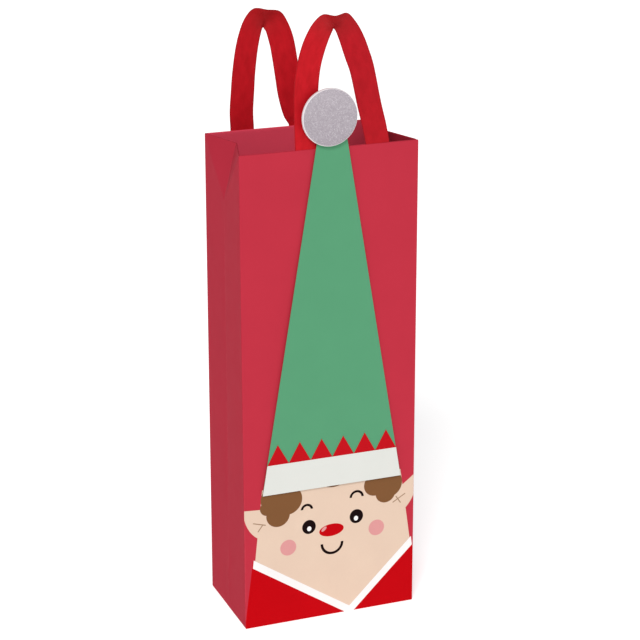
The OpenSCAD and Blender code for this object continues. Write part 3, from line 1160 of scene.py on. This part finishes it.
def ribbon_edges(side):
    """Outer and inner edge of the ribbon, point by point, ends included. The back one is turned."""
    loop = LOOPS[side]
    curve = smooth_line(loop, 8)
    rim_y = float(front_y(HEIGHT)) + 0.6
    outer = np.stack([curve[:, 0], rim_y + curve[:, 5] - curve[:, 4], HEIGHT + curve[:, 1]], axis=1)
    inner = np.stack([curve[:, 2], rim_y + curve[:, 5] + curve[:, 4], HEIGHT + curve[:, 3]], axis=1)
    ups = np.linspace(HEIGHT - TAIL, HEIGHT, 9)
    tail = [(float(front_y(z)) + 0.6, z) for z in ups]
    edges = []
    for edge, column in [(outer, 0), (inner, 2)]:
        rising = [(loop[0][column], y, z) for y, z in tail]
        falling = [(loop[-1][column], y, z) for y, z in reversed(tail)]
        edges.append(np.vstack([rising, edge, falling]))
    return edges


def sweep_ribbon(side):
    """The ribbon's solid, and each point's place across and along it."""
    outer, inner = ribbon_edges(side)
    middle = (outer + inner) / 2
    along = np.gradient(middle, axis=0)
    along /= np.linalg.norm(along, axis=1, keepdims=True)
    length = np.concatenate([[0], np.cumsum(np.linalg.norm(np.diff(middle, axis=0), axis=1))])
    wide = outer - inner
    wide /= np.linalg.norm(wide, axis=1, keepdims=True)
    face = np.cross(along, wide)
    face /= np.linalg.norm(face, axis=1, keepdims=True)
    shares = [-1, -0.94, -0.8, -0.5, 0, 0.5, 0.8, 0.94, 1]
    section = [(s, 1) for s in shares] + [(s, -1) for s in reversed(shares)]
    points, weave = [], []
    for i in range(len(middle)):
        for s, up in section:
            thick = RIBBON_T / 2 * (1.0 if abs(s) < 0.9 else 1.12)
            edge = 1 if abs(s) < 1 else 0.5
            points.append(middle[i] + wide[i] * s * RIBBON / 2 + face[i] * up * thick * edge)
            weave.append((s * RIBBON / 2, length[i], 0))
    count = len(section)
    faces = []
    for i in range(len(middle) - 1):
        for k in range(count):
            a, b = i * count + k, i * count + (k + 1) % count
            faces.append((a, b, b + count, a + count))
    last = (len(middle) - 1) * count
    faces.append(tuple(range(count))[::-1])
    faces.append(tuple(range(last, last + count)))
    return np.array(points), faces, weave, length[-1]


BEND_BELOW, BEND_ABOVE = 0.3, 6.7
hinges = {joint["child"]: joint["pos_m"] for joint in frame["joints"] if joint["type"] == "hinge"}
# How much painted shade darkens each ribbon's second leg.
for side, far_leg_shade in [("front", 0.3), ("back", 0.0)]:
    points, faces, weave, length = sweep_ribbon(side)
    ribbon_finish = satin(f"{side}_satin", length, far_leg_shade)
    if side == "back":
        points = mirrored(points, 1)
    else:
        faces = flip(faces)
    ribbon = make(f"{side}_ribbon", points, faces, [ribbon_finish], crisp=50)
    attribute = ribbon.data.attributes.new("weave", "FLOAT_VECTOR", "POINT")
    attribute.data.foreach_set("vector", np.array(weave, np.float32).ravel())
    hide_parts(f"{side}_handle", f"{side}_handle_ends")
    x, y, z = hinges[f"{side}_handle"]
    start, end = (x, y, z - BEND_BELOW * MM), (x, y, z + BEND_ABOVE * MM)
    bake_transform(ribbon)
    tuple(start)
    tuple(end)
    length * MM
    print(f"{side} ribbon: {length:.0f} mm long with its ends")

# %% [markdown]
# ## Studio
#
# A pale floor, a soft light above and a little to the left of the camera, a weaker and wider one
# from the right, and an even white surround, which is how such goods are lit for a catalogue. The
# floor glows a little, so that it stays as white as the surround.


# %% Floor
def floor_finish():
    material, place = start_finish("studio_floor")
    cloud = place.noise(300, 3)
    base = (cloud * 0.4).tint(ink(252, 252, 252), ink(249, 249, 250))
    constants = {"Specular IOR Level": 0.1, "Emission Strength": 0.46, "Emission Color": (1, 1, 1, 1)}
    close_finish(place, base, cloud * 0.05 + 0.9, place.noise(2, 2), 0.002, constants)
    return material


floor_mesh = bpy.data.meshes.new("floor")
reach = 60.0
corners = [(-reach, -reach, 0), (reach, -reach, 0), (reach, reach, 0), (-reach, reach, 0)]
floor_mesh.from_pydata(corners, [], [(0, 1, 2, 3)])
floor_mesh.materials.append(floor_finish())
floor = bpy.data.objects.new("floor", floor_mesh)
bpy.context.scene.collection.objects.link(floor)


# %% Lights and camera
def soft_sun(name, across, height, strength, spread):
    """A distant soft light. The angles say how far right of the front it stands, and how high."""
    data = bpy.data.lights.new(name, "SUN")
    data.energy = strength
    data.angle = math.radians(spread)
    light = bpy.data.objects.new(name, data)
    bpy.context.scene.collection.objects.link(light)
    turn, rise = math.radians(across), math.radians(height)
    to_light = Vector((math.sin(turn) * math.cos(rise), -math.cos(turn) * math.cos(rise), math.sin(rise)))
    light.rotation_euler = to_light.to_track_quat("Z", "Y").to_euler()
    return light


soft_sun("key", across=-32, height=38, strength=1.8, spread=20)
soft_sun("fill", across=40, height=25, strength=0.25, spread=60)
world = bpy.data.worlds.new("surround")
bpy.context.scene.world = world
world.use_nodes = True
world.node_tree.nodes["Background"].inputs["Color"].default_value = (1, 1, 1, 1)
world.node_tree.nodes["Background"].inputs["Strength"].default_value = 0.385
bpy.context.scene.view_settings.view_transform = "Standard"

AZIMUTH, ELEVATION, DISTANCE = math.radians(-21.42), math.radians(18.43), 1.474
AIM = Vector((0.0070, 0, 0.2208))
back = Vector(
    (math.sin(AZIMUTH) * math.cos(ELEVATION), -math.cos(AZIMUTH) * math.cos(ELEVATION), math.sin(ELEVATION))
)
camera_data = bpy.data.cameras.new("camera")
camera_data.lens = 112.5
camera_data.sensor_width = 36
camera_data.clip_start = 0.05
camera_data.clip_end = 60
camera = bpy.data.objects.new("camera", camera_data)
camera.location = AIM + back * DISTANCE
camera.rotation_euler = back.to_track_quat("Z", "Y").to_euler()
bpy.context.scene.collection.objects.link(camera)
bpy.context.scene.camera = camera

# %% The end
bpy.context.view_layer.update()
